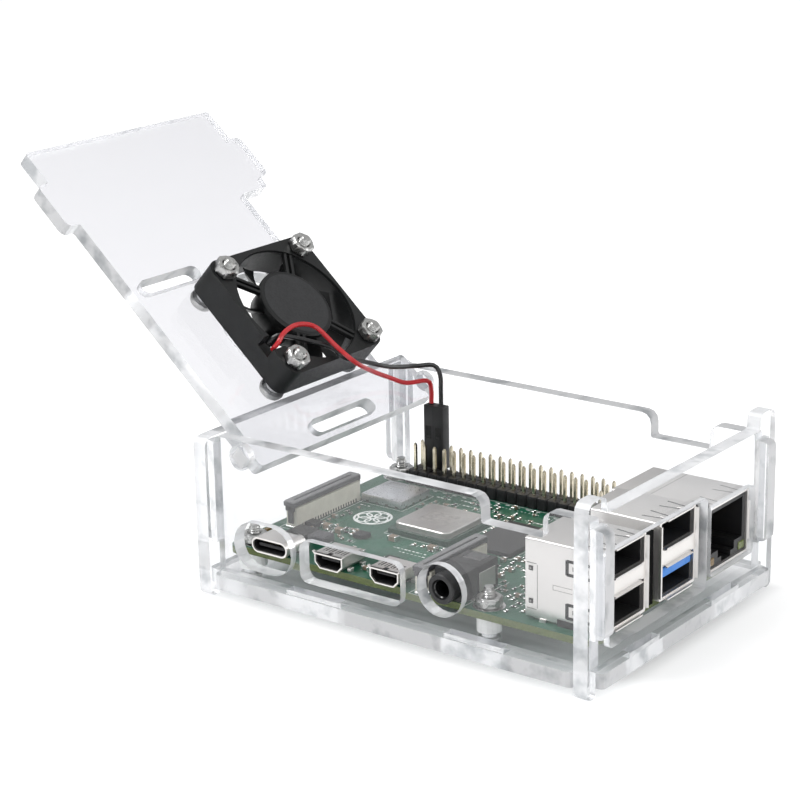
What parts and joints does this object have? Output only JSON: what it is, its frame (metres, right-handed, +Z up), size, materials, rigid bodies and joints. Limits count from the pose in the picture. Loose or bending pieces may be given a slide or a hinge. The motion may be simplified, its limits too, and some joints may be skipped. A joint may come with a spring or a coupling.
{
  "type": "single board computer",
  "caption": "Bare circuit board computer in a clear slotted acrylic case, with a cooling fan on its hinged lid and sockets along the front and right end.",
  "frame": {"origin": "centre of the bounding box at rest, on the surface the end panels' feet stand on", "axes": "+X along the board from the hinge towards the USB and network sockets, +Y from the power and video sockets towards the pin header, +Z up"},
  "size_m": [0.1434, 0.068, 0.0834],
  "materials": {
    "clear_acrylic": "polished clear sheet",
    "green_board": "solder mask over glass laminate",
    "black_plastic": "moulded black",
    "white_nylon": "moulded white",
    "cream_plastic": "moulded cream",
    "blue_plastic": "moulded blue",
    "bright_steel": "plated sheet",
    "zinc_screw": "zinc plated",
    "heat_spreader": "satin",
    "red_wire": "insulation",
    "black_wire": "insulation"
  },
  "bodies": {
    "case": {"audio_jack": "black_plastic", "base_plate": "clear_acrylic", "board_nut_1": "zinc_screw", "board_nut_2": "zinc_screw", "board_nut_3": "zinc_screw", "board_nut_4": "zinc_screw", "board_screw_1": "zinc_screw", "board_screw_2": "zinc_screw", "board_screw_3": "zinc_screw", "board_screw_4": "zinc_screw", "camera_body": "cream_plastic", "card_socket": "bright_steel", "circuit_board": "green_board", "display_body": "cream_plastic", "fan_plug": "black_plastic", "fan_wire_black": "black_wire", "fan_wire_red": "red_wire", "front_panel": "clear_acrylic", "left_end_panel": "clear_acrylic", "memory_chip": "black_plastic", "network_chip": "black_plastic", "network_contacts": "black_plastic", "network_jack": "bright_steel", "pin_header": "black_plastic", "power_chip": "black_plastic", "power_coil": "black_plastic", "power_header": "black_plastic", "power_socket": "bright_steel", "processor": "heat_spreader", "radio_can": "bright_steel", "rear_panel": "clear_acrylic", "right_end_panel": "clear_acrylic", "spacer_1": "white_nylon", "spacer_2": "white_nylon", "spacer_3": "white_nylon", "spacer_4": "white_nylon", "usb2_shell": "bright_steel", "usb2_tongue_1": "black_plastic", "usb2_tongue_2": "black_plastic", "usb3_shell": "bright_steel", "usb3_tongue_1": "blue_plastic", "usb3_tongue_2": "blue_plastic", "usb_controller": "black_plastic", "video_socket_1": "bright_steel", "video_socket_2": "bright_steel"},
    "lid": {"lid_panel": "clear_acrylic", "fan_frame": "black_plastic", "fan_screw_1": "zinc_screw", "fan_screw_2": "zinc_screw", "fan_screw_3": "zinc_screw", "fan_screw_4": "zinc_screw", "fan_nut_1": "zinc_screw", "fan_nut_2": "zinc_screw", "fan_nut_3": "zinc_screw", "fan_nut_4": "zinc_screw"},
    "rotor": {"fan_rotor": "black_plastic"},
    "display_latch": {"display_latch": "black_plastic"},
    "camera_latch": {"camera_latch": "black_plastic"}
  },
  "joints": [
    {"name": "lid_hinge", "type": "hinge", "parent": "case", "child": "lid", "pos_m": [-0.01218, 0, 0.0296], "axis": [0, 1, 0], "range_deg": [0, 138], "deforming": ["fan_wire_red", "fan_wire_black"]},
    {"name": "fan_spin", "type": "hinge", "parent": "lid", "child": "rotor", "pos_m": [-0.02637, 0.0018, 0.04911], "axis": [0.6691, 0, 0.7431], "continuous": true},
    {"name": "display_latch_slide", "type": "slide", "parent": "case", "child": "display_latch", "axis": [0, 0, 1], "range_m": [0, 0.0015]},
    {"name": "camera_latch_slide", "type": "slide", "parent": "case", "child": "camera_latch", "axis": [0, 0, 1], "range_m": [0, 0.0015]}
  ]
}
